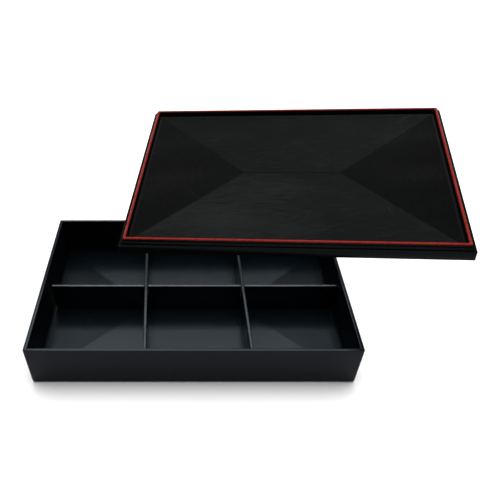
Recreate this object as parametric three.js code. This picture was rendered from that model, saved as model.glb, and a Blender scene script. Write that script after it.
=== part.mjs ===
// Six-compartment lacquered lunch box with a lift-out partition, a ribbed floor and a stepped lid.
// Millimetres, +Z up, +X to the right, +Y to the rear.
// The origin is the centre of the flat foot that the box stands on.

import * as THREE from 'three';
import { mergeVertices } from 'three/addons/utils/BufferGeometryUtils.js';

// Box
const BOX_WIDTH = 300;
const BOX_DEPTH = 207;
const BOX_HEIGHT = 42.7;
const BOX_CORNER = 2.0;
const BOX_DRAFT = 2.7; // how far the outer wall draws in from the rim to the base
const WALL = 3.5;
const FLOOR_TOP = 2.8;
const FOOT_HEIGHT = 0.9;
const FOOT_INSET = 5.4; // from the wall's lower edge
const BASE_EDGE = 1.0;
const RIM_OUTER_EDGE = 1.0;
const RIM_INNER_EDGE = 0.5;
const FLOOR_FILLET = 1.2;

// Fine ribs on the box floor and on the lid's panel. They run round like picture frames, one
// inside the next, so they meet in mitres along the diagonals and end in a ridge line.
const REED_PITCH = 1.44;
const REED_DEPTH = 0.12;
const REED_MARGIN = 0.8; // plain band between the fillet or wall and the first rib
const RIDGE_HALF = 0.3; // least half width of the strip left in the middle

// Partition boards
const BOARD = 3.0;
const BOARD_TOP = 32.4; // height of the boards' top edges above the foot
const BOARD_EDGE = 0.6;
const BOARD_REST = 0.3; // running gap under the boards
const LONG_END_GAP = 1.6; // play between the long board and each end wall
const SHORT_END_GAP = 1.0;
const HEEL_CHAMFER = 2.0; // clears the fillet round the floor
const SLOT_PLAY = 0.3; // on each face of a board in its slot
const LONG_SHIFT = 1.3; // the partition is pushed against the right wall
const LONG_Y = -0.75;
const LEFT_X = -47.5;
const RIGHT_X = 50.1;
const LEFT_TURN = 2.16; // degrees that the board stands askew in its slot
const RIGHT_TURN = 1.51;

// Lid, in its own frame: z = 0 is the lower edge of its skirt
const LID_CORNER = 2.2;
const LID_PLAY = 1.2; // between the skirt and the box rim
const SKIRT = 3.5;
const SKIRT_INSIDE = 5.8;
const SKIRT_DRAFT = 0.3;
const SKIRT_EDGE = 0.5;
const LOWER_STEP_Z = 8.0;
const LOWER_STEP = 2.1;
const UPPER_STEP_Z = 10.7;
const UPPER_STEP = 1.7;
const STEP_EDGE = 0.3;
const RIB = 3.0;
const RIB_TOP = 13.3;
const RIB_DRAFT = 0.5;
const PANEL_Z = 8.1;
const LINE_GAP = 0.3;
const LINE_THICK = 0.7;
const LINE_INSET = 0.45; // from each side of the rib
const LINE_EDGE = 0.25;

// Lid as it hangs above the rear right of the box: the centre of the line's top, and its turn
const LID_X = 96.7;
const LID_Y = 52.9;
const LID_Z = 137.5;
const LID_PITCH = 8.45; // degrees about X, then about the turned Y, then about the turned Z
const LID_ROLL = -5.35;
const LID_YAW = -7.05;

// Facets
const CORNER_STEPS = 5;
const MIN_CORNER = 0.4;

const LACQUER_BLACK = { color: 0x17181b, roughness: 0.32, metalness: 0 };
const BOARD_BLACK = { color: 0x141518, roughness: 0.36, metalness: 0 };
const LID_BLACK = { color: 0x0e0f11, roughness: 0.28, metalness: 0 };
const LINE_RED = { color: 0xa01f1c, roughness: 0.38, metalness: 0 };

// One ring of points: a rounded rectangle drawn in by inset, at height z.
// It is kept as four corners of points, anticlockwise from above. A mitred ring has sharp corners.
function ring(plan, inset, z, mitred) {
  const radius = mitred ? 0 : Math.max(plan.corner - inset, MIN_CORNER);
  const halfX = plan.width / 2 - inset - radius;
  const halfY = plan.depth / 2 - inset - radius;
  const signs = [[1, 1], [-1, 1], [-1, -1], [1, -1]];
  return signs.map(([sx, sy], quarter) => {
    if (mitred) {
      return [new THREE.Vector3(sx * halfX, sy * halfY, z)];
    }
    const points = [];
    for (let i = 0; i <= CORNER_STEPS; i++) {
      const angle = (quarter + i / CORNER_STEPS) * Math.PI / 2;
      const x = sx * halfX + radius * Math.cos(angle);
      const y = sy * halfY + radius * Math.sin(angle);
      points.push(new THREE.Vector3(x, y, z));
    }
    return points;
  });
}

// Sweeps a section of [inset, z, mitred] points round a rounded rectangle.
// An open section is closed by a flat cap at each end. A looped one joins its own start.
// Once a section's rings are mitred they stay so.
function sweepRound(plan, section, looped = false) {
  const positions = [];
  const faces = [];
  const addPoint = (x, y, z) => positions.push(x, y, z) / 3 - 1;
  const rings = section.map(([inset, z, mitred]) => ring(plan, inset, z, mitred)
    .map((corner) => corner.map((point) => addPoint(...point))));

  const joinRings = (a, b) => {
    a.forEach((corner, quarter) => {
      const inner = b[quarter];
      const after = (quarter + 1) % a.length;
      for (let i = 0; i + 1 < corner.length; i++) {
        if (inner.length > 1) {
          faces.push(corner[i], corner[i + 1], inner[i + 1], corner[i], inner[i + 1], inner[i]);
        } else {
          faces.push(corner[i], corner[i + 1], inner[0]);
        }
      }
      const end = corner.at(-1);
      faces.push(end, a[after][0], b[after][0], end, b[after][0], inner.at(-1));
    });
  };
  const cap = (corners, z, up) => {
    const edge = corners.flat();
    const centre = addPoint(0, 0, z);
    edge.forEach((point, i) => {
      const next = edge[(i + 1) % edge.length];
      faces.push(centre, ...(up ? [point, next] : [next, point]));
    });
  };

  for (let k = 0; k + 1 < rings.length; k++) {
    joinRings(rings[k], rings[k + 1]);
  }
  if (looped) {
    joinRings(rings[rings.length - 1], rings[0]);
  } else {
    cap(rings[0], section[0][1], false);
    cap(rings[rings.length - 1], section[section.length - 1][1], true);
  }
  const geometry = new THREE.BufferGeometry();
  geometry.setAttribute('position', new THREE.Float32BufferAttribute(positions, 3));
  geometry.setIndex(faces);
  return mergeVertices(geometry, 1e-4);
}

// Points of a quarter circle from one tangent point to the next, for a rounded edge.
function roundEdge([fromInset, fromZ], [toInset, toZ], [cornerInset, cornerZ], steps) {
  const centre = [fromInset + toInset - cornerInset, fromZ + toZ - cornerZ];
  const points = [];
  for (let i = 0; i <= steps; i++) {
    const turn = (i / steps) * Math.PI / 2;
    const a = Math.cos(turn);
    const b = Math.sin(turn);
    points.push([
      centre[0] + (fromInset - centre[0]) * a + (toInset - centre[0]) * b,
      centre[1] + (fromZ - centre[1]) * a + (toZ - centre[1]) * b,
    ]);
  }
  return points;
}

// Section of the mitred ribs: a crest and a groove by turns, from inset to the ridge line.
function reeding(plan, inset, z) {
  const start = inset + REED_MARGIN;
  const count = Math.floor((plan.depth / 2 - start - RIDGE_HALF) / REED_PITCH);
  const points = [[start, z, true]];
  for (let i = 0; i < count; i++) {
    points.push([start + (i + 0.5) * REED_PITCH, z - REED_DEPTH, true]);
    points.push([start + (i + 1) * REED_PITCH, z, true]);
  }
  return points;
}

// How far the outer wall is drawn in at height z.
function wallInset(z) {
  return BOX_DRAFT * (BOX_HEIGHT - z) / BOX_HEIGHT;
}

const innerHalfWidth = (z) => BOX_WIDTH / 2 - WALL - wallInset(z);
const innerHalfDepth = (z) => BOX_DEPTH / 2 - WALL - wallInset(z);

const BOX_PLAN = { width: BOX_WIDTH, depth: BOX_DEPTH, corner: BOX_CORNER };

function boxSection() {
  const baseInset = wallInset(FOOT_HEIGHT);
  const footInset = baseInset + FOOT_INSET;
  const edgeTopZ = FOOT_HEIGHT + BASE_EDGE;
  const rimZ = BOX_HEIGHT - RIM_OUTER_EDGE;
  const innerRimZ = BOX_HEIGHT - RIM_INNER_EDGE;
  const filletZ = FLOOR_TOP + FLOOR_FILLET;
  const filletInset = WALL + wallInset(filletZ);
  return [
    [footInset + FOOT_HEIGHT / 2, 0],
    [footInset, FOOT_HEIGHT],
    ...roundEdge([baseInset + BASE_EDGE, FOOT_HEIGHT], [wallInset(edgeTopZ), edgeTopZ],
      [baseInset, FOOT_HEIGHT], 3),
    ...roundEdge([wallInset(rimZ), rimZ], [RIM_OUTER_EDGE, BOX_HEIGHT], [0, BOX_HEIGHT], 3),
    ...roundEdge([WALL - RIM_INNER_EDGE, BOX_HEIGHT], [WALL + wallInset(innerRimZ), innerRimZ],
      [WALL, BOX_HEIGHT], 2),
    ...roundEdge([filletInset, filletZ], [filletInset + FLOOR_FILLET, FLOOR_TOP],
      [filletInset, FLOOR_TOP], 3),
    ...reeding(BOX_PLAN, filletInset + FLOOR_FILLET, FLOOR_TOP),
  ];
}

function makeBox() {
  return sweepRound(BOX_PLAN, boxSection());
}

// Outline of a board seen from its side: ends that follow the walls' draft, cut heels,
// and slots that reach half its height from the top or from the bottom.
function boardOutline(halfTop, halfBottom, slots, slotsFromTop) {
  const bottom = FLOOR_TOP + BOARD_REST;
  const top = BOARD_TOP;
  const middle = (bottom + top) / 2;
  const slotEnd = slotsFromTop ? middle - SLOT_PLAY / 2 : middle + SLOT_PLAY / 2;
  const slotHalf = BOARD / 2 + SLOT_PLAY;
  const outline = new THREE.Shape();
  outline.moveTo(-halfBottom + HEEL_CHAMFER, bottom);
  if (!slotsFromTop) {
    for (const at of slots) {
      outline.lineTo(at - slotHalf, bottom);
      outline.lineTo(at - slotHalf, slotEnd);
      outline.lineTo(at + slotHalf, slotEnd);
      outline.lineTo(at + slotHalf, bottom);
    }
  }
  outline.lineTo(halfBottom - HEEL_CHAMFER, bottom);
  outline.lineTo(halfBottom, bottom + HEEL_CHAMFER);
  outline.lineTo(halfTop, top);
  if (slotsFromTop) {
    for (const at of [...slots].reverse()) {
      outline.lineTo(at + slotHalf, top);
      outline.lineTo(at + slotHalf, slotEnd);
      outline.lineTo(at - slotHalf, slotEnd);
      outline.lineTo(at - slotHalf, top);
    }
  }
  outline.lineTo(-halfTop, top);
  outline.lineTo(-halfBottom, bottom + HEEL_CHAMFER);
  outline.closePath();
  return outline;
}

// A board of the partition, standing along X through the origin.
function makeBoard(outline) {
  const geometry = new THREE.ExtrudeGeometry(outline, {
    depth: BOARD - 2 * BOARD_EDGE,
    bevelThickness: BOARD_EDGE,
    bevelSize: BOARD_EDGE,
    bevelOffset: -BOARD_EDGE,
    bevelSegments: 2,
  });
  geometry.translate(0, 0, BOARD_EDGE - BOARD / 2);
  geometry.rotateX(Math.PI / 2);
  return geometry;
}

function makeLongBoard() {
  const halfTop = innerHalfWidth(BOARD_TOP) - LONG_END_GAP;
  const halfBottom = innerHalfWidth(FLOOR_TOP) - LONG_END_GAP;
  const slots = [LEFT_X - LONG_SHIFT, RIGHT_X - LONG_SHIFT];
  return makeBoard(boardOutline(halfTop, halfBottom, slots, true));
}

// A short board crosses the long one at its own origin, so its outline is off centre.
function makeShortBoard() {
  const halfTop = innerHalfDepth(BOARD_TOP) - SHORT_END_GAP;
  const halfBottom = innerHalfDepth(FLOOR_TOP) - SHORT_END_GAP;
  const geometry = makeBoard(boardOutline(halfTop, halfBottom, [LONG_Y], false));
  geometry.translate(-LONG_Y, 0, 0);
  geometry.rotateZ(Math.PI / 2);
  return geometry;
}

// The lid's skirt fits outside the box rim, so its size follows the box.
const LID_GROWTH = 2 * (LID_PLAY + SKIRT);
const LID_PLAN = {
  width: BOX_WIDTH + LID_GROWTH,
  depth: BOX_DEPTH + LID_GROWTH,
  corner: LID_CORNER,
};

const STEP_TWO = SKIRT_DRAFT + LOWER_STEP;
const STEP_ONE = STEP_TWO + UPPER_STEP;
const PANEL_INSET = STEP_ONE + RIB + RIB_DRAFT;

function lidSection() {
  return [
    [SKIRT + SKIRT_EDGE, SKIRT_INSIDE],
    [SKIRT, SKIRT_INSIDE - SKIRT_EDGE],
    [SKIRT, SKIRT_EDGE],
    [SKIRT - SKIRT_EDGE, 0],
    [SKIRT_EDGE, 0],
    [0, SKIRT_EDGE],
    ...roundEdge([SKIRT_DRAFT, LOWER_STEP_Z - SKIRT_EDGE], [SKIRT_DRAFT + SKIRT_EDGE, LOWER_STEP_Z],
      [SKIRT_DRAFT, LOWER_STEP_Z], 2),
    [STEP_TWO, LOWER_STEP_Z],
    [STEP_TWO, UPPER_STEP_Z - STEP_EDGE],
    [STEP_TWO + STEP_EDGE, UPPER_STEP_Z],
    [STEP_ONE, UPPER_STEP_Z],
    [STEP_ONE, RIB_TOP],
    [STEP_ONE + RIB, RIB_TOP],
    [PANEL_INSET, PANEL_Z],
    ...reeding(LID_PLAN, PANEL_INSET, PANEL_Z),
  ];
}

function makeLid() {
  return sweepRound(LID_PLAN, lidSection());
}

function makeLine() {
  const outer = STEP_ONE + LINE_INSET;
  const inner = STEP_ONE + RIB - LINE_INSET;
  const low = RIB_TOP + LINE_GAP;
  const top = low + LINE_THICK;
  return sweepRound(LID_PLAN, [
    [outer, low],
    [outer, top - LINE_EDGE],
    [outer + LINE_EDGE, top],
    [inner - LINE_EDGE, top],
    [inner, top - LINE_EDGE],
    [inner, low],
  ], true);
}

function piece(name, geometry, finish) {
  const mesh = new THREE.Mesh(geometry, new THREE.MeshStandardMaterial(finish));
  mesh.name = name;
  return mesh;
}

function makePartition() {
  const group = new THREE.Group();
  const longBoard = piece('long_divider', makeLongBoard(), BOARD_BLACK);
  longBoard.position.set(LONG_SHIFT, LONG_Y, 0);
  group.add(longBoard);
  const shorts = [
    ['short_divider_left', LEFT_X, LEFT_TURN],
    ['short_divider_right', RIGHT_X, RIGHT_TURN],
  ];
  for (const [name, x, turn] of shorts) {
    const board = piece(name, makeShortBoard(), BOARD_BLACK);
    board.position.set(x, LONG_Y, 0);
    board.rotation.z = THREE.MathUtils.degToRad(turn);
    group.add(board);
  }
  return group;
}

// The lid turns about the centre of the red line's top face, which is placed in space.
function makeLidGroup() {
  const group = new THREE.Group();
  group.position.set(LID_X, LID_Y, LID_Z);
  group.rotation.set(...[LID_PITCH, LID_ROLL, LID_YAW].map(THREE.MathUtils.degToRad));
  const shell = new THREE.Group();
  shell.position.z = -(RIB_TOP + LINE_GAP + LINE_THICK);
  shell.add(piece('lid', makeLid(), LID_BLACK));
  shell.add(piece('lid_red_line', makeLine(), LINE_RED));
  group.add(shell);
  return group;
}

const bento = new THREE.Group();
bento.add(piece('box', makeBox(), LACQUER_BLACK));
bento.add(makePartition());
bento.add(makeLidGroup());

export default bento;
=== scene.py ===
"""Lacquered lunch box with a lift-out partition and a stepped lid, dressed for the studio.

Every piece is modelled in metres at its place in the frame. Its sizes follow the frame's own
solids. Rounded edges and the fine mitred ribs are worked out from the sizes below.
"""

import math

import bmesh
import bpy
from bpy.props import (
    FloatProperty, FloatVectorProperty, IntProperty, PointerProperty,
)
from mathutils import Euler, Matrix, Vector


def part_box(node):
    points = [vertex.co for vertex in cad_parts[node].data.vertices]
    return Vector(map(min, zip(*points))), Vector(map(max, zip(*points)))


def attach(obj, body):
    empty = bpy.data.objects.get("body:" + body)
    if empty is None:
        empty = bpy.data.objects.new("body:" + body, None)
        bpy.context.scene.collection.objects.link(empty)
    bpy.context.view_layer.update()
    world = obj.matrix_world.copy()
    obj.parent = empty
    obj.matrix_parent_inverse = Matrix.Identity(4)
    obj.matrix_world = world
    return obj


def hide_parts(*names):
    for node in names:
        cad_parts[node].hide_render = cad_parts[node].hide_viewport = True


bl_info = {
    "name": "Lacquered Lunch Box",
    "version": (1, 0, 0),
    "blender": (4, 5, 0),
    "location": "View3D > Sidebar > Lunch Box",
    "description": "Models and dresses a lacquered lunch box with its partition and lid",
    "category": "Add Mesh",
}

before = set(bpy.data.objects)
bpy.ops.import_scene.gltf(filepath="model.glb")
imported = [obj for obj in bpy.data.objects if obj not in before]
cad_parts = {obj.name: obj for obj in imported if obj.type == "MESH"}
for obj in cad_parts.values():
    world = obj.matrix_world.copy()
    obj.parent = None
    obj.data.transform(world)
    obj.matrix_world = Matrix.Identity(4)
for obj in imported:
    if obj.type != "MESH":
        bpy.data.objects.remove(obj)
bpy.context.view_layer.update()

MM = 0.001
UP = Vector((0, 0, 1))

BOX_LOW, BOX_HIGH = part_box("box")
LONG_LOW, LONG_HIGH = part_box("long_divider")

# Heights and places closer than this are the same
NEAR = 0.01 * MM

# Edges that turn more than this stay sharp
CREASE = math.radians(28)

# Two directions are the same if their cosine is above this
ALIGNED = 0.99

# Rise of a face's normal, 1 for a flat top: below the first the face is steep,
# above the second it counts as a top, and above the third it is level
STEEP = 0.5
TOP = 0.3
LEVEL = 0.9999

# Facets round corners and edges
CORNER_SEGMENTS = 8
SMALL_CORNER_SEGMENTS = 6
EDGE_SEGMENTS = 4
SMALL_EDGE_SEGMENTS = 3
BASE_EDGE_SEGMENTS = 5

# The photograph's camera: focal length and centre in pixels of its 500 pixel frame,
# width of the sensor in millimetres, and place and closest view in metres
PHOTO_SIZE = 500
FOCAL_PIXELS = 642.0
CENTRE_X_PIXEL = 189.07
SENSOR = 36.0
CAMERA_PLACE = (-4.07 * MM, -502.45 * MM, 444.78 * MM)
CAMERA_PITCH = math.radians(36.267)
CLOSEST = 10 * MM

# Half the width and the roughness of the studio floor, and the soft boxes' power per area
FLOOR_HALF_WIDTH = 30.0
FLOOR_ROUGHNESS = 0.9
SOFT_BOX_POWER = 4.0

# Patterns of the lacquer, in repeats per metre
CLOUD_SCALE = 24.0
TONE_SCALE = 700.0
GRAIN_SCALE = 1500.0
DUST_SCALE = 120.0
FILM_SCALE = 26.0
SCRATCH_SCALE = 11.0
GAP_SCALE = 44.0

# Most values of a noise pattern lie between these
NOISE_SPAN = (0.3, 0.7)

# How much finer than along itself a streak is across, by axis
NO_STREAKS = (1, 1, 1)
WALL_STREAKS = (0.03, 0.03, 1)
LID_STREAKS = (0.03, 1, 1)
FILM_STREAKS = (0.35, 1, 1)

# A lacquer's colour is this share of itself at tone 0, this one at the wiped tone,
# and the grey of dust at tone 1
DARK_SHARE = 0.7
WIPED_SHARE = 1.5
WIPED_TONE = 0.2
DUST_GREY = 0.02

# Size of a speck of dust in its cell, and the share of it that is solid
DUST_RADIUS = 0.035
DUST_CORE = 0.6

# Scratches follow contour lines of a cloud: lines in it, their width and tone, and the
# values of a finer cloud between which they fade in
SCRATCH_TURNS = 6.0
SCRATCH_WIDTH = 0.014
SCRATCH_TONE = 0.25
SCRATCH_FADE = (0.4, 0.65)

# Values of a cloud between which the film of dust fades in, and its tone
FILM_FADE = (0.35, 0.75)
FILM_TONE = 0.2

# Where on the lid's panel its colour is lightest, how far the lighter patch reaches, and its tone
PATCH_PLACE = (18 * MM, -18 * MM, 125 * MM)
PATCH_REACH = 115 * MM
PATCH_TONE = 0.24

# Strength of the bump that makes the grain
GRAIN_STRENGTH = 0.3

# Shine of the ribs on the floor and on the lid's panel; the side sectors' lower shine is painted
# shade that stands in for the darker reflection of their ribs, which run from front to rear
REED_SHINE = 0.56
SHADED_SIDE_REED_SHINE = 0.26
PANEL_SHINE = 0.044
SHADED_SIDE_PANEL_SHINE = 0.0155

# Clear coat on the long board's top, a painted sheen that stands in for the light its top catches
COAT_ROUGHNESS = 0.25
COAT_IOR = 1.9

# Cool tints of the box's shine
BOX_TINT = (0.72, 0.9, 1.0)
WALL_TINT = (0.78, 0.81, 1.0)

# Cool tints of the shine on the lid's plain steps and on its panel
STEP_TINT = (0.75, 0.9, 1.0)
PANEL_TINT = (0.76, 1.0, 1.0)

# Material slots of the ribs and of the box's rim, and of the long board's top
RIBS = 1
SIDE_RIBS = 2
RIM = 3
BOARD_TOP = 1


class BoxSizes(bpy.types.PropertyGroup):
    """Sizes of the box"""

    draft: FloatProperty(
        name="Draft", description="How far the walls draw in from the rim to the base",
        default=2.7 * MM, unit="LENGTH")
    wall: FloatProperty(
        name="Wall", description="Thickness of the walls at the rim", default=3.5 * MM,
        unit="LENGTH")
    floor_top: FloatProperty(
        name="Floor", description="Height of the floor above the foot", default=2.8 * MM,
        unit="LENGTH")
    outer_corner: FloatProperty(
        name="Outer corner", description="Plan radius of the outer corners",
        default=2.0 * MM, unit="LENGTH")
    inner_corner: FloatProperty(
        name="Inner corner", description="Plan radius of the inner corners",
        default=1.0 * MM, unit="LENGTH")
    rim_edge: FloatProperty(
        name="Rim edge", description="Radius of the rim's outer edge", default=1.0 * MM,
        unit="LENGTH")
    lip_edge: FloatProperty(
        name="Lip edge", description="Radius of the rim's inner edge", default=0.5 * MM,
        unit="LENGTH")
    base_edge: FloatProperty(
        name="Base edge", description="Radius of the lower outer edge", default=1.0 * MM,
        unit="LENGTH")
    fillet: FloatProperty(
        name="Floor fillet", description="Radius where the floor meets the wall",
        default=1.2 * MM, unit="LENGTH")
    foot_inset: FloatProperty(
        name="Foot inset", description="How far the foot stands in from the wall",
        default=5.4 * MM, unit="LENGTH")
    foot_height: FloatProperty(
        name="Foot height", description="Height of the flat foot", default=0.9 * MM,
        unit="LENGTH")


class ReedSizes(bpy.types.PropertyGroup):
    """Sizes of the fine mitred ribs on the floor and on the lid's panel"""

    pitch: FloatProperty(
        name="Pitch", description="Distance from one rib to the next", default=1.44 * MM,
        unit="LENGTH")
    depth: FloatProperty(
        name="Depth", description="Depth of a groove in the box's floor",
        default=0.025 * MM, unit="LENGTH")
    groove: FloatProperty(
        name="Groove", description="Width of a groove in the box's floor",
        default=0.72 * MM, unit="LENGTH")
    margin: FloatProperty(
        name="Margin", description="Plain band between the wall and the ribs",
        default=2.0 * MM, unit="LENGTH")
    ridge: FloatProperty(
        name="Ridge", description="Least half width of the strip left in the middle",
        default=0.3 * MM, unit="LENGTH")
    line: FloatProperty(
        name="Ridge line", description="Width of the line along the lid's ridge",
        default=0.6 * MM, unit="LENGTH")
    line_depth: FloatProperty(
        name="Ridge line depth", description="Depth of the line along the lid's ridge",
        default=0.3 * MM, unit="LENGTH")
    wave: FloatProperty(
        name="Wave", description="Depth of the round ribs on the lid's panel",
        default=0.09 * MM, unit="LENGTH")


class BoardSizes(bpy.types.PropertyGroup):
    """Sizes and places of the partition's boards"""

    thickness: FloatProperty(
        name="Thickness", description="Thickness of a board", default=3.0 * MM,
        unit="LENGTH")
    edge: FloatProperty(
        name="Edge", description="Radius of a board's edges", default=0.7 * MM,
        unit="LENGTH")
    edge_segments: IntProperty(
        name="Edge segments", description="Facets round a board's edge", default=4, min=1)
    heel: FloatProperty(
        name="Heel", description="Cut at a board's lower corners", default=2.0 * MM,
        unit="LENGTH")
    slot_play: FloatProperty(
        name="Slot play", description="Gap on each face of a board in its slot",
        default=0.3 * MM, unit="LENGTH")
    end_gap: FloatProperty(
        name="End gap", description="Gap between a short board and the wall",
        default=1.0 * MM, unit="LENGTH")
    left_x: FloatProperty(
        name="Left place", description="Where the left board crosses the long one",
        default=-47.5 * MM, unit="LENGTH")
    right_x: FloatProperty(
        name="Right place", description="Where the right board crosses the long one",
        default=50.1 * MM, unit="LENGTH")
    left_turn: FloatProperty(
        name="Left turn", description="How far the left board stands askew",
        default=math.radians(2.16), unit="ROTATION")
    right_turn: FloatProperty(
        name="Right turn", description="How far the right board stands askew",
        default=math.radians(1.51), unit="ROTATION")


class LidSizes(bpy.types.PropertyGroup):
    """Sizes and place of the lid, whose heights count from the skirt's lower edge"""

    width: FloatProperty(
        name="Width", description="Outer width", default=309.4 * MM, unit="LENGTH")
    depth: FloatProperty(
        name="Depth", description="Outer depth", default=216.4 * MM, unit="LENGTH")
    corner: FloatProperty(
        name="Corner", description="Plan radius of the outer corners", default=2.2 * MM,
        unit="LENGTH")
    rib_corner: FloatProperty(
        name="Rib corner", description="Plan radius of the corners further in",
        default=1.0 * MM, unit="LENGTH")
    skirt: FloatProperty(
        name="Skirt", description="Thickness of the skirt", default=3.5 * MM,
        unit="LENGTH")
    inside: FloatProperty(
        name="Inside", description="Height inside the skirt", default=5.8 * MM,
        unit="LENGTH")
    lower_step_height: FloatProperty(
        name="Lower step height", description="Height of the lower step",
        default=8.0 * MM, unit="LENGTH")
    lower_step: FloatProperty(
        name="Lower step", description="Width of the lower step", default=2.4 * MM,
        unit="LENGTH")
    upper_step_height: FloatProperty(
        name="Upper step height", description="Height of the upper step",
        default=10.7 * MM, unit="LENGTH")
    upper_step: FloatProperty(
        name="Upper step", description="Width of the upper step", default=1.7 * MM,
        unit="LENGTH")
    rib: FloatProperty(
        name="Rim rib", description="Width of the rib round the panel", default=3.0 * MM,
        unit="LENGTH")
    rib_top: FloatProperty(
        name="Rim rib top", description="Height of the rib", default=13.3 * MM,
        unit="LENGTH")
    rib_draft: FloatProperty(
        name="Rim rib draft", description="How far the rib's inner wall draws in",
        default=0.5 * MM, unit="LENGTH")
    panel: FloatProperty(
        name="Panel", description="Height of the sunk panel", default=8.1 * MM,
        unit="LENGTH")
    step_edge: FloatProperty(
        name="Step edge", description="Radius of the steps' edges", default=0.45 * MM,
        unit="LENGTH")
    line_low: FloatProperty(
        name="Line base", description="Height of the red line's lower side",
        default=13.2 * MM, unit="LENGTH")
    line_top: FloatProperty(
        name="Line top", description="Height of the red line's top", default=14.3 * MM,
        unit="LENGTH")
    line_inset: FloatProperty(
        name="Line inset", description="Black strip left on each side of the red line",
        default=0.45 * MM, unit="LENGTH")
    line_edge: FloatProperty(
        name="Line edge", description="Radius of the red line's edges",
        default=0.7 * MM, unit="LENGTH")
    place: FloatVectorProperty(
        name="Place", description="Where the centre of the line's top hangs",
        default=(96.7 * MM, 52.9 * MM, 137.5 * MM), unit="LENGTH", subtype="TRANSLATION")
    turn: FloatVectorProperty(
        name="Turn", description="Turn about X, the turned Y, then the turned Z",
        default=[math.radians(angle) for angle in (8.45, -5.35, -7.05)], subtype="EULER")


class Finishes(bpy.types.PropertyGroup):
    """Colours of the lacquers and of the studio floor"""

    box: FloatVectorProperty(
        name="Box", description="Black of the box and its partition", subtype="COLOR",
        size=3, default=(0.0010, 0.0013, 0.0022))
    # Painted light: the ribbed floor's black is lighter than the walls' to stand in for light on
    # the floor
    reeds: FloatVectorProperty(
        name="Reeds", description="Black of the ribbed floor", subtype="COLOR", size=3,
        default=(0.0014, 0.0025, 0.0036))
    lid: FloatVectorProperty(
        name="Lid", description="Black of the lid", subtype="COLOR", size=3,
        default=(0.0016, 0.0016, 0.0016))
    line: FloatVectorProperty(
        name="Line", description="Red of the line", subtype="COLOR", size=3,
        default=(0.17, 0.008, 0.004))
    floor: FloatVectorProperty(
        name="Floor", description="Colour of the studio floor", subtype="COLOR", size=3,
        default=(0.88, 0.88, 0.88))


def add_node(material, kind, **inputs):
    """A node of that kind with some of its sockets set."""
    node = material.node_tree.nodes.new(kind)
    for socket, value in inputs.items():
        node.inputs[socket.replace("_", " ")].default_value = value
    return node


def join(material, source, target):
    """Links one socket to another."""
    material.node_tree.links.new(source, target)


def add_pattern(material, kind, place, streaks=NO_STREAKS, **inputs):
    """A pattern node that reads the piece's own coordinates, stretched into streaks."""
    stretch = add_node(material, "ShaderNodeMapping", Scale=streaks)
    join(material, place.outputs["Object"], stretch.inputs["Vector"])
    node = add_node(material, kind, **inputs)
    join(material, stretch.outputs["Vector"], node.inputs["Vector"])
    return node


def add_range(material, source, low, high, new_low, new_high):
    """Maps a value from one range to another."""
    node = add_node(material, "ShaderNodeMapRange", From_Min=low, From_Max=high,
                    To_Min=new_low, To_Max=new_high)
    join(material, source, node.inputs["Value"])
    return node.outputs["Result"]


def add_math(material, operation, first, second):
    """The result of a math operation on two values, each a socket or a number."""
    node = add_node(material, "ShaderNodeMath")
    node.operation = operation
    for socket, value in zip(node.inputs, (first, second)):
        if isinstance(value, float):
            socket.default_value = value
        else:
            join(material, value, socket)
    return node.outputs["Value"]


def add_scratches(material, place):
    """Fine curved scratches: contour lines of a cloud, broken up by another cloud."""
    cloud = add_pattern(material, "ShaderNodeTexNoise", place, Scale=SCRATCH_SCALE, Detail=1.0)
    turns = add_math(material, "MULTIPLY", cloud.outputs["Fac"], SCRATCH_TURNS)
    wave = add_math(material, "PINGPONG", turns, 0.5)
    line = add_range(material, wave, 0.0, SCRATCH_WIDTH, SCRATCH_TONE, 0.0)
    gaps = add_pattern(material, "ShaderNodeTexNoise", place, Scale=GAP_SCALE)
    kept = add_range(material, gaps.outputs["Fac"], *SCRATCH_FADE, 0.0, 1.0)
    return add_math(material, "MULTIPLY", line, kept)


def add_film(material, place, patch_tone):
    """A thin film of dust that lies in clouds, and a lighter patch of that tone round one place.
    """
    cloud = add_pattern(material, "ShaderNodeTexNoise", place, FILM_STREAKS, Scale=FILM_SCALE,
                        Detail=6.0)
    film = add_range(material, cloud.outputs["Fac"], *FILM_FADE, 0.0, FILM_TONE)
    away = add_node(material, "ShaderNodeVectorMath")
    away.operation = "DISTANCE"
    away.inputs[1].default_value = PATCH_PLACE
    join(material, place.outputs["Object"], away.inputs[0])
    fading = add_range(material, away.outputs["Value"], 0.0, PATCH_REACH, patch_tone, 0.0)
    return add_math(material, "ADD", film, fading)


def add_tone(material, shader, place, colour, streaks, patch_tone):
    """Faint wipe streaks and specks of dust, with a film, scratches and a lighter patch if its
    tone is given.
    """
    tone = add_pattern(material, "ShaderNodeTexNoise", place, streaks, Scale=TONE_SCALE,
                       Detail=2.0)
    dust = add_pattern(material, "ShaderNodeTexVoronoi", place, Scale=DUST_SCALE)
    speck = add_range(material, dust.outputs["Distance"], DUST_RADIUS * DUST_CORE, DUST_RADIUS,
                      1.0, 0.0)
    shade = add_range(material, tone.outputs["Fac"], *NOISE_SPAN, 0.0, WIPED_TONE)
    tones = add_math(material, "MAXIMUM", speck, shade)
    if patch_tone is not None:
        tones = add_math(material, "ADD", tones, add_scratches(material, place))
        tones = add_math(material, "ADD", tones, add_film(material, place, patch_tone))
    ramp = material.node_tree.nodes.new("ShaderNodeValToRGB")
    stops = ramp.color_ramp.elements
    stops[0].color = (*[part * DARK_SHARE for part in colour], 1)
    stops[1].color = (*[max(part, DUST_GREY) for part in colour], 1)
    middle = stops.new(WIPED_TONE)
    middle.color = (*[part * WIPED_SHARE for part in colour], 1)
    join(material, tones, ramp.inputs["Fac"])
    join(material, ramp.outputs["Color"], shader.inputs["Base Color"])


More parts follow.
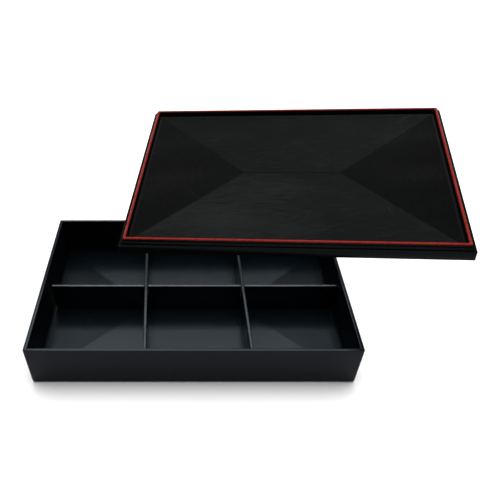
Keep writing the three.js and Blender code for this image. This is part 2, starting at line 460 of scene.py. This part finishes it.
def make_lacquer(name, colour, gloss, shine, grain, tint=(1, 1, 1), streaks=NO_STREAKS,
                 patch_tone=None):
    """Lacquer whose roughness clouds between two values, with a fine grain that deep."""
    material = bpy.data.materials.new(name)
    material.use_nodes = True
    shader = material.node_tree.nodes["Principled BSDF"]
    shader.inputs["Specular IOR Level"].default_value = shine
    shader.inputs["Specular Tint"].default_value = (*tint, 1)
    place = add_node(material, "ShaderNodeTexCoord")
    add_tone(material, shader, place, colour, streaks, patch_tone)

    cloud = add_pattern(material, "ShaderNodeTexNoise", place, Scale=CLOUD_SCALE, Detail=3.0)
    rough = add_range(material, cloud.outputs["Fac"], *NOISE_SPAN, *gloss)
    join(material, rough, shader.inputs["Roughness"])

    peel = add_pattern(material, "ShaderNodeTexNoise", place, Scale=GRAIN_SCALE, Detail=1.0)
    bump = add_node(material, "ShaderNodeBump", Strength=GRAIN_STRENGTH, Distance=grain)
    join(material, peel.outputs["Fac"], bump.inputs["Height"])
    join(material, bump.outputs["Normal"], shader.inputs["Normal"])
    return material


def make_box_lacquer():
    """Satin black of the box's walls."""
    colour = bpy.context.scene.bento_finishes.box
    return make_lacquer("box_lacquer", colour, gloss=(0.26, 0.34), shine=0.095,
                        grain=0.02 * MM, tint=WALL_TINT, streaks=WALL_STREAKS)


def make_rim_lacquer():
    """Polished black of the rim."""
    colour = bpy.context.scene.bento_finishes.box
    return make_lacquer("rim_lacquer", colour, gloss=(0.07, 0.1), shine=0.57,
                        grain=0.01 * MM, tint=BOX_TINT)


def make_reed_lacquer(name, shine):
    """Black of the ribbed floor, painted lighter than the walls' black as painted light on the
    floor, which the mould leaves more polished.
    """
    colour = bpy.context.scene.bento_finishes.reeds
    return make_lacquer(name, colour, gloss=(0.22, 0.24), shine=shine, grain=0.005 * MM,
                        tint=BOX_TINT)


def make_board_lacquer():
    """Satin black of the partition."""
    colour = bpy.context.scene.bento_finishes.box
    return make_lacquer("board_lacquer", colour, gloss=(0.22, 0.28), shine=1.0,
                        grain=0.015 * MM, tint=BOX_TINT, streaks=WALL_STREAKS)


def make_board_top_lacquer():
    """Thicker lacquer with a clear coat on the long board's top: a lit copy of the board's
    lacquer, painted sheen for the light the top catches.
    """
    colour = bpy.context.scene.bento_finishes.box
    material = make_lacquer("board_top_lacquer", colour, gloss=(0.22, 0.28), shine=1.0,
                            grain=0.01 * MM, tint=BOX_TINT)
    shader = material.node_tree.nodes["Principled BSDF"]
    shader.inputs["Coat Weight"].default_value = 1.0
    shader.inputs["Coat Roughness"].default_value = COAT_ROUGHNESS
    shader.inputs["Coat IOR"].default_value = COAT_IOR
    return material


def make_step_lacquer():
    """Satin black of the lid's skirt, steps and rim."""
    colour = bpy.context.scene.bento_finishes.lid
    return make_lacquer("step_lacquer", colour, gloss=(0.16, 0.22), shine=0.036,
                        grain=0.008 * MM, tint=STEP_TINT)


def make_lid_lacquer(name, shine, streaks, patch_tone):
    """Deep satin black of the lid's ribbed panel, more neutral than the box and worn."""
    colour = bpy.context.scene.bento_finishes.lid
    return make_lacquer(name, colour, gloss=(0.09, 0.13), shine=shine, grain=0.008 * MM,
                        tint=PANEL_TINT, streaks=streaks, patch_tone=patch_tone)


def make_line_lacquer():
    """Vermilion lacquer of the line."""
    colour = bpy.context.scene.bento_finishes.line
    return make_lacquer("line_lacquer", colour, gloss=(0.26, 0.32), shine=0.1,
                        grain=0.01 * MM)


def new_slab(width, depth, low, high):
    """A block round the vertical axis, from one height to another."""
    mesh = bmesh.new()
    bmesh.ops.create_cube(mesh, size=1.0)
    bmesh.ops.scale(mesh, vec=(width, depth, high - low), verts=mesh.verts)
    bmesh.ops.translate(mesh, vec=(0, 0, (high + low) / 2), verts=mesh.verts)
    return mesh


def middle_face(mesh, normal, height):
    """The flat face at that height that looks along normal and lies across the middle."""
    mesh.normal_update()
    faces = [face for face in mesh.faces if face.normal.dot(normal) > ALIGNED
             and abs(face.calc_center_median().z - height) < NEAR]
    return min(faces, key=lambda face: face.calc_center_median().xy.length)


def inset(mesh, face, width):
    """Insets a face by that width. Returns the band of faces round it."""
    return bmesh.ops.inset_region(
        mesh, faces=[face], thickness=width, use_even_offset=True)["faces"]


def step(mesh, face, width, rise):
    """Insets a face and carries it along Z on new walls. Returns it."""
    inset(mesh, face, width)
    face = bmesh.ops.extrude_discrete_faces(mesh, faces=[face])["faces"][0]
    bmesh.ops.translate(mesh, verts=list(face.verts), vec=(0, 0, rise))
    return face


def narrow(face, amount):
    """Draws the corners of a face in by amount on each side."""
    centre = face.calc_center_median()
    for vert in face.verts:
        vert.co.x -= math.copysign(amount, vert.co.x - centre.x)
        vert.co.y -= math.copysign(amount, vert.co.y - centre.y)


def round_edges(mesh, edges, radius, segments):
    """Rounds edges."""
    bmesh.ops.bevel(
        mesh, geom=edges, offset=radius, offset_type="OFFSET", segments=segments, profile=0.5,
        affect="EDGES", clamp_overlap=True, material=-1)


def reach(vert, width, depth):
    """How far inside a rectangle round the axis a point lies."""
    return min(width / 2 - abs(vert.co.x), depth / 2 - abs(vert.co.y))


def upright_edges(mesh, width, depth, nearest, farthest):
    """Steep edges at corners that lie that far inside a rectangle."""
    edges = []
    for edge in mesh.edges:
        first, second = edge.verts
        rise = abs(first.co.z - second.co.z)
        run = (first.co.xy - second.co.xy).length
        inside = [reach(vert, width, depth) for vert in edge.verts]
        if rise > run and rise > NEAR and nearest <= min(inside) and max(inside) <= farthest:
            edges.append(edge)
    return edges


def level_edges(mesh, height, width, depth, nearest, farthest):
    """Edges at a height, between a steep and a flat face, that far inside a rectangle."""
    mesh.normal_update()
    edges = []
    for edge in mesh.edges:
        if any(abs(vert.co.z - height) > NEAR for vert in edge.verts):
            continue
        steep = [abs(face.normal.z) < STEEP for face in edge.link_faces]
        inside = [reach(vert, width, depth) for vert in edge.verts]
        if any(steep) and not all(steep) and nearest <= min(inside) and max(inside) <= farthest:
            edges.append(edge)
    return edges


def flat_ribs(sizes):
    """Widths and rises of a flat rib and the round groove after it."""
    half = sizes.groove / 2
    return (sizes.pitch - sizes.groove, 0), (half, -sizes.depth), (half, sizes.depth)


def round_ribs(sizes):
    """Widths and rises of a round rib and the round groove after it."""
    quarter, half_wave = sizes.pitch / 4, sizes.wave / 2
    return ((quarter, -half_wave), (quarter, -half_wave),
            (quarter, half_wave), (quarter, half_wave))


def add_reeding(mesh, face, profile, ridge):
    """Turns a face into rings of ribs. Returns the narrow face left in the middle."""
    pitch = sum(width for width, rise in profile)
    half_depth = max(vert.co.y for vert in face.verts)
    for number in range(int((half_depth - ridge) / pitch)):
        for width, rise in profile:
            for part in inset(mesh, face, width):
                centre = part.calc_center_median()
                part.material_index = SIDE_RIBS if abs(centre.x) > abs(centre.y) else RIBS
            bmesh.ops.translate(mesh, verts=list(face.verts), vec=(0, 0, rise))
    face.material_index = RIBS
    return face


def cut_line(mesh, face, width, depth):
    """Sinks the middle of a long narrow face into a groove of that width and depth."""
    half_face = max(vert.co.y for vert in face.verts)
    inset(mesh, face, half_face - width / 2)
    inset(mesh, face, width / 2 - NEAR)
    bmesh.ops.translate(mesh, verts=list(face.verts), vec=(0, 0, -depth))


def mark_tops(mesh, height, slot):
    """Gives that material slot to what faces up above a height."""
    for face in mesh.faces:
        if face.normal.z > TOP and face.calc_center_median().z > height:
            face.material_index = slot


def is_rib_edge(edge):
    """Whether a ribbed face's edge is a mitre or the edge of a flat rib, not a groove's bottom."""
    if any(face.material_index not in (RIBS, SIDE_RIBS) for face in edge.link_faces):
        return False
    run = edge.verts[0].co - edge.verts[1].co
    mitre = min(abs(run.x), abs(run.y)) > NEAR
    return mitre or any(abs(face.normal.z) > LEVEL for face in edge.link_faces)


def finish_piece(mesh, name, materials, body, node, place=Matrix()):
    """Makes the mesh an object at the origin that stands for a node and rides on its body."""
    mesh.normal_update()
    for face in mesh.faces:
        face.smooth = True
    for edge in mesh.edges:
        edge.smooth = edge.calc_face_angle(0) < CREASE and not is_rib_edge(edge)
    bmesh.ops.transform(mesh, matrix=place, verts=mesh.verts)
    data = bpy.data.meshes.new(name)
    mesh.to_mesh(data)
    mesh.free()
    for material in materials:
        data.materials.append(material)
    piece = bpy.data.objects.new(name, data)
    bpy.context.scene.collection.objects.link(piece)
    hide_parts(node)
    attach(piece, body)
    return piece


class BENTO_OT_box(bpy.types.Operator):
    """Models the box: drafted walls, rounded rim, flat foot and ribbed floor"""

    bl_idname = "bento.box"
    bl_label = "Box"

    def execute(self, context):
        sizes = context.scene.bento_box
        reeds = context.scene.bento_reeds
        width, depth, height = BOX_HIGH - BOX_LOW
        slope = sizes.draft / height
        mesh = new_slab(width, depth, sizes.foot_height, height)

        base = middle_face(mesh, -UP, sizes.foot_height)
        narrow(base, slope * (height - sizes.foot_height))
        foot = step(mesh, base, sizes.foot_inset, -sizes.foot_height)
        narrow(foot, sizes.foot_height / 2)
        rim = middle_face(mesh, UP, height)
        floor = step(mesh, rim, sizes.wall, sizes.floor_top - height)
        narrow(floor, slope * (height - sizes.floor_top))
        inset(mesh, floor, reeds.margin)

        outer = upright_edges(mesh, width, depth, -NEAR, sizes.draft + NEAR)
        outer = [edge for edge in outer if edge.calc_length() > height / 2]
        round_edges(mesh, outer, sizes.outer_corner, CORNER_SEGMENTS)
        inner = upright_edges(mesh, width, depth, sizes.wall - NEAR, sizes.wall + sizes.draft)
        inner = [edge for edge in inner if edge.calc_length() > height / 2]
        round_edges(mesh, inner, sizes.inner_corner, SMALL_CORNER_SEGMENTS)
        self.round_levels(mesh, sizes, width, depth, height)

        floor = middle_face(mesh, UP, sizes.floor_top)
        add_reeding(mesh, floor, flat_ribs(reeds), reeds.ridge)
        mark_tops(mesh, height / 2, RIM)
        materials = (make_box_lacquer(),
                     make_reed_lacquer("reed_lacquer", REED_SHINE),
                     # Painted shade: the side sectors get a duller copy of the floor's lacquer for
                     # their ribs' darker reflection
                     make_reed_lacquer("shaded_side_reed_lacquer", SHADED_SIDE_REED_SHINE),
                     make_rim_lacquer())
        finish_piece(mesh, "box_shell", materials, "box", "box")
        return {"FINISHED"}

    def round_levels(self, mesh, sizes, width, depth, height):
        """Rounds the rim, the lower outer edge and the foot of the inner walls."""
        middle = sizes.wall / 2
        far = width
        rim = level_edges(mesh, height, width, depth, -NEAR, middle)
        round_edges(mesh, rim, sizes.rim_edge, EDGE_SEGMENTS)
        lip = level_edges(mesh, height, width, depth, middle, far)
        round_edges(mesh, lip, sizes.lip_edge, SMALL_EDGE_SEGMENTS)
        foot_start = sizes.draft + sizes.foot_inset / 2
        base = level_edges(mesh, sizes.foot_height, width, depth, -NEAR, foot_start)
        round_edges(mesh, base, sizes.base_edge, BASE_EDGE_SEGMENTS)
        floor = level_edges(mesh, sizes.floor_top, width, depth, sizes.wall, far)
        round_edges(mesh, floor, sizes.fillet, EDGE_SEGMENTS)


def slot_outline(at, half, edge, end):
    """Corners of a slot cut from a board's edge to its middle."""
    return [(at - half, edge), (at - half, end), (at + half, end), (at + half, edge)]


def board_mesh(half_top, half_low, low, high, slots, from_top, sizes):
    """A board along X: its outline as one face, drawn out to its thickness, edges rounded."""
    middle = (low + high) / 2
    slot_half = sizes.thickness / 2 + sizes.slot_play
    outline = [(-half_low + sizes.heel, low)]
    if not from_top:
        for at in slots:
            outline += slot_outline(at, slot_half, low, middle + sizes.slot_play / 2)
    outline += [(half_low - sizes.heel, low), (half_low, low + sizes.heel), (half_top, high)]
    if from_top:
        for at in reversed(slots):
            outline += slot_outline(at, -slot_half, high, middle - sizes.slot_play / 2)
    outline += [(-half_top, high), (-half_low, low + sizes.heel)]

    mesh = bmesh.new()
    face = mesh.faces.new([mesh.verts.new((x, -sizes.thickness / 2, z)) for x, z in outline])
    grown = bmesh.ops.extrude_face_region(mesh, geom=[face])["geom"]
    moved = [item for item in grown if isinstance(item, bmesh.types.BMVert)]
    bmesh.ops.translate(mesh, verts=moved, vec=(0, sizes.thickness, 0))
    bmesh.ops.recalc_face_normals(mesh, faces=mesh.faces)
    round_edges(mesh, list(mesh.edges), sizes.edge, sizes.edge_segments)
    return mesh


class BENTO_OT_partition(bpy.types.Operator):
    """Models the three boards of the partition, halved into each other"""

    bl_idname = "bento.partition"
    bl_label = "Partition"

    def execute(self, context):
        sizes = context.scene.bento_boards
        box = context.scene.bento_box
        materials = (make_board_lacquer(),)
        height = BOX_HIGH.z - BOX_LOW.z
        low, high = LONG_LOW.z, LONG_HIGH.z
        slope = box.draft / height
        lean = slope * (high - box.floor_top)

        centre = (LONG_LOW + LONG_HIGH) / 2
        half = (LONG_HIGH.x - LONG_LOW.x) / 2
        slots = [sizes.left_x - centre.x, sizes.right_x - centre.x]
        mesh = board_mesh(half, half - lean, low, high, slots, True, sizes)
        # The long board's top gets a lit copy of the lacquer with a coat, a painted sheen
        mark_tops(mesh, (low + high) / 2 + sizes.thickness, BOARD_TOP)
        materials_with_lit_top = (*materials, make_board_top_lacquer())
        finish_piece(mesh, "long_board", materials_with_lit_top, "partition", "long_divider",
                     Matrix.Translation((centre.x, centre.y, 0)))

        inside = (BOX_HIGH.y - BOX_LOW.y) / 2 - box.wall - slope * (height - high)
        half = inside - sizes.end_gap
        for side, x, turn in (("left", sizes.left_x, sizes.left_turn),
                              ("right", sizes.right_x, sizes.right_turn)):
            mesh = board_mesh(half, half - lean, low, high, [centre.y], False, sizes)
            bmesh.ops.translate(mesh, verts=mesh.verts, vec=(-centre.y, 0, 0))
            place = (Matrix.Translation((x, centre.y, 0))
                     @ Matrix.Rotation(turn + math.pi / 2, 4, "Z"))
            finish_piece(mesh, side + "_short_board", materials, side + "_board",
                         "short_divider_" + side, place)
        return {"FINISHED"}


def lid_place(sizes):
    """Carries the lid from its own frame, whose origin is on its skirt's lower edge."""
    return (Matrix.Translation(sizes.place) @ Euler(sizes.turn, "ZYX").to_matrix().to_4x4()
            @ Matrix.Translation((0, 0, -sizes.line_top)))


class BENTO_OT_lid(bpy.types.Operator):
    """Models the lid: skirt, two steps, rib round the sunk ribbed panel, and the red line"""

    bl_idname = "bento.lid"
    bl_label = "Lid"

    def execute(self, context):
        sizes = context.scene.bento_lid
        place = lid_place(sizes)
        materials = (make_step_lacquer(),
                     make_lid_lacquer("lid_lacquer", PANEL_SHINE, LID_STREAKS, PATCH_TONE),
                     # Painted shade: the panel's side sectors get a duller copy of its lacquer for
                     # their ribs' darker reflection
                     make_lid_lacquer("shaded_lid_side_lacquer", SHADED_SIDE_PANEL_SHINE, NO_STREAKS, 0.0))
        finish_piece(self.shell(sizes, context.scene.bento_reeds), "lid_shell", materials,
                     "lid", "lid", place)
        finish_piece(self.line(sizes), "red_line", (make_line_lacquer(),), "lid",
                     "lid_red_line", place)
        return {"FINISHED"}

    def shell(self, sizes, reeds):
        """The black lid."""
        mesh = new_slab(sizes.width, sizes.depth, 0, sizes.lower_step_height)
        step(mesh, middle_face(mesh, -UP, 0), sizes.skirt, sizes.inside)
        top = middle_face(mesh, UP, sizes.lower_step_height)
        top = step(mesh, top, sizes.lower_step, sizes.upper_step_height - sizes.lower_step_height)
        top = step(mesh, top, sizes.upper_step, sizes.rib_top - sizes.upper_step_height)
        top = step(mesh, top, sizes.rib, sizes.panel - sizes.rib_top)
        narrow(top, sizes.rib_draft)
        inset(mesh, top, reeds.margin)

        width, depth = sizes.width, sizes.depth
        outer = upright_edges(mesh, width, depth, -NEAR, NEAR)
        round_edges(mesh, outer, sizes.corner, CORNER_SEGMENTS)
        further = upright_edges(mesh, width, depth, NEAR, width)
        round_edges(mesh, further, sizes.rib_corner, SMALL_CORNER_SEGMENTS)
        levels = (0, sizes.lower_step_height, sizes.upper_step_height, sizes.rib_top)
        for level in levels:
            edges = level_edges(mesh, level, width, depth, -NEAR, width)
            edges = [edge for edge in edges if edge.is_convex]
            round_edges(mesh, edges, sizes.step_edge, SMALL_EDGE_SEGMENTS)
        panel = middle_face(mesh, UP, sizes.panel)
        ridge = add_reeding(mesh, panel, round_ribs(reeds), reeds.ridge)
        cut_line(mesh, ridge, reeds.line, reeds.line_depth)
        return mesh

    def line(self, sizes):
        """The red line: a flat frame on the rib's top."""
        edge = 2 * (sizes.lower_step + sizes.upper_step + sizes.line_inset)
        mesh = new_slab(sizes.width - edge, sizes.depth - edge, sizes.line_low, sizes.line_top)
        top = middle_face(mesh, UP, sizes.line_top)
        low = middle_face(mesh, -UP, sizes.line_low)
        inset(mesh, top, sizes.rib - 2 * sizes.line_inset)
        inset(mesh, low, sizes.rib - 2 * sizes.line_inset)
        bmesh.ops.bridge_loops(mesh, edges=list(top.edges) + list(low.edges))
        bmesh.ops.delete(mesh, geom=[top, low], context="FACES_ONLY")
        bmesh.ops.recalc_face_normals(mesh, faces=mesh.faces)
        far = sizes.width
        corners = upright_edges(mesh, far, far, 0, far)
        round_edges(mesh, corners, sizes.rib_corner, SMALL_CORNER_SEGMENTS)
        crest = level_edges(mesh, sizes.line_top, far, far, 0, far)
        round_edges(mesh, crest, sizes.line_edge, EDGE_SEGMENTS)
        return mesh


class StudioSettings(bpy.types.PropertyGroup):
    """Strengths and places of the studio's soft lights"""

    sky: FloatProperty(name="Sky", description="Brightness of the surroundings", default=0.18)
    top: FloatProperty(
        name="Top", description="Strength of the wide light above", default=5.0)
    top_height: FloatProperty(
        name="Top height", description="Angle at which the light above shines from behind",
        default=math.radians(65), unit="ROTATION")
    top_spread: FloatProperty(
        name="Top spread", description="Width of the light above",
        default=math.radians(90), unit="ROTATION")
    distance: FloatProperty(
        name="Distance", description="How far away the soft boxes stand", default=2.0,
        unit="LENGTH")
    rear: FloatVectorProperty(
        name="Rear", description="Brightness of the lower and upper soft box behind",
        size=2, default=(0.08, 1.0))
    rear_spans: FloatVectorProperty(
        name="Rear spans", description="Angles at which the two soft boxes end and meet",
        size=3, default=[math.radians(angle) for angle in (10, 41.5, 95)], unit="ROTATION")
    rear_reach: FloatVectorProperty(
        name="Rear reach", description="Angles that they reach to the left and to the right",
        size=2, default=(math.radians(-19), math.radians(19)), unit="ROTATION")
    lid: FloatProperty(
        name="Lid", description="Brightness of the lid's own soft box", default=0.82)
    lid_span: FloatVectorProperty(
        name="Lid span", description="Lowest and highest angle of the lid's soft box",
        size=2, default=(math.radians(38.5), math.radians(95)), unit="ROTATION")
    lid_reach: FloatVectorProperty(
        name="Lid reach", description="Angles that it reaches to the left and to the right",
        size=2, default=(math.radians(-22.5), math.radians(23.5)), unit="ROTATION")


def link_light(linking, slot, name, state):
    """Makes a light spare the lid and its line, or touch nothing else."""
    collection = bpy.data.collections.new(name)
    setattr(linking, slot, collection)
    for piece in ("lid_shell", "red_line"):
        collection.objects.link(bpy.data.objects[piece])
    for item in collection.collection_objects:
        item.light_linking.link_state = state


def add_light(name, kind, height):
    """A light behind the box that shines on it from that angle above the horizon.

    The lid is held over the box for the picture only, so it casts no shadow on it.
    """
    data = bpy.data.lights.new(name, kind)
    light = bpy.data.objects.new(name, data)
    light.rotation_euler = (height - math.pi / 2, 0, 0)
    bpy.context.scene.collection.objects.link(light)
    link_light(light.light_linking, "blocker_collection", name + "_blockers", "EXCLUDE")
    return light


def add_top_light(height, spread, strength):
    """A wide light above and behind, which the lacquer doesn't mirror."""
    light = add_light("top_light", "SUN", height)
    light.data.angle = spread
    light.data.energy = strength
    light.visible_glossy = False


def add_soft_box(name, span, reach, distance, brightness, lid_state):
    """A soft box behind that fills those angles, as seen from the box."""
    middle = (span[0] + span[1]) / 2
    left, right = [math.tan(angle) * distance for angle in reach]
    light = add_light(name, "AREA", middle)
    light.location = (
        (left + right) / 2, distance * math.cos(middle), distance * math.sin(middle))
    light.data.shape = "RECTANGLE"
    light.data.size = right - left
    light.data.size_y = 2 * distance * math.tan((span[1] - span[0]) / 2)
    light.data.energy = (
        SOFT_BOX_POWER * brightness * light.data.size * light.data.size_y)
    light.visible_camera = False
    link_light(light.light_linking, "receiver_collection", name + "_receivers", lid_state)


class BENTO_OT_stage(bpy.types.Operator):
    """Sets the pale floor, the soft lights and the camera"""

    bl_idname = "bento.stage"
    bl_label = "Stage"

    def execute(self, context):
        scene = context.scene
        studio = scene.bento_studio
        scene.view_settings.view_transform = "Standard"
        self.add_floor(scene)

        world = bpy.data.worlds.new("studio")
        scene.world = world
        world.use_nodes = True
        background = world.node_tree.nodes["Background"]
        background.inputs["Color"].default_value = (1, 1, 1, 1)
        background.inputs["Strength"].default_value = studio.sky
        add_top_light(studio.top_height, studio.top_spread, studio.top)
        low, middle, high = studio.rear_spans
        add_soft_box("lower_soft_box", (low, middle), studio.rear_reach, studio.distance,
                     studio.rear[0], "EXCLUDE")
        add_soft_box("upper_soft_box", (middle, high), studio.rear_reach, studio.distance,
                     studio.rear[1], "EXCLUDE")
        add_soft_box("lid_soft_box", studio.lid_span, studio.lid_reach, studio.distance,
                     studio.lid, "INCLUDE")

        data = bpy.data.cameras.new("camera")
        data.sensor_width = SENSOR
        data.lens = FOCAL_PIXELS / PHOTO_SIZE * SENSOR
        data.shift_x = (PHOTO_SIZE / 2 - CENTRE_X_PIXEL) / PHOTO_SIZE
        data.clip_start = CLOSEST
        camera = bpy.data.objects.new("camera", data)
        camera.location = CAMERA_PLACE
        camera.rotation_euler = (math.pi / 2 - CAMERA_PITCH, 0, 0)
        scene.collection.objects.link(camera)
        scene.camera = camera
        return {"FINISHED"}

    def add_floor(self, scene):
        """The plain pale floor."""
        mesh = bmesh.new()
        bmesh.ops.create_grid(mesh, x_segments=1, y_segments=1, size=FLOOR_HALF_WIDTH)
        data = bpy.data.meshes.new("studio_floor")
        mesh.to_mesh(data)
        mesh.free()
        material = bpy.data.materials.new("studio_floor")
        material.use_nodes = True
        shader = material.node_tree.nodes["Principled BSDF"]
        shader.inputs["Base Color"].default_value = (*scene.bento_finishes.floor, 1)
        shader.inputs["Roughness"].default_value = FLOOR_ROUGHNESS
        shader.inputs["Specular IOR Level"].default_value = 0.0
        data.materials.append(material)
        floor = bpy.data.objects.new("studio_floor", data)
        scene.collection.objects.link(floor)


class BENTO_PT_panel(bpy.types.Panel):
    """Lists the steps that build the lunch box"""

    bl_idname = "BENTO_PT_panel"
    bl_label = "Lunch Box"
    bl_space_type = "VIEW_3D"
    bl_region_type = "UI"
    bl_category = "Lunch Box"

    def draw(self, context):
        for operator in OPERATORS:
            self.layout.operator(operator.bl_idname)


GROUPS = {
    "bento_box": BoxSizes,
    "bento_reeds": ReedSizes,
    "bento_boards": BoardSizes,
    "bento_lid": LidSizes,
    "bento_finishes": Finishes,
    "bento_studio": StudioSettings,
}
OPERATORS = (BENTO_OT_box, BENTO_OT_partition, BENTO_OT_lid, BENTO_OT_stage)
CLASSES = (*GROUPS.values(), *OPERATORS, BENTO_PT_panel)


def register():
    """Registers the classes and hangs their settings on the scene."""
    for item in CLASSES:
        bpy.utils.register_class(item)
    for name, group in GROUPS.items():
        setattr(bpy.types.Scene, name, PointerProperty(type=group))


def unregister():
    """Takes the settings and the classes away again."""
    for name in GROUPS:
        delattr(bpy.types.Scene, name)
    for item in reversed(CLASSES):
        bpy.utils.unregister_class(item)


def main():
    """Builds every piece and the stage."""
    register()
    bpy.ops.bento.box()
    bpy.ops.bento.partition()
    bpy.ops.bento.lid()
    bpy.ops.bento.stage()
    bpy.context.view_layer.update()


if __name__ == "__main__":
    main()
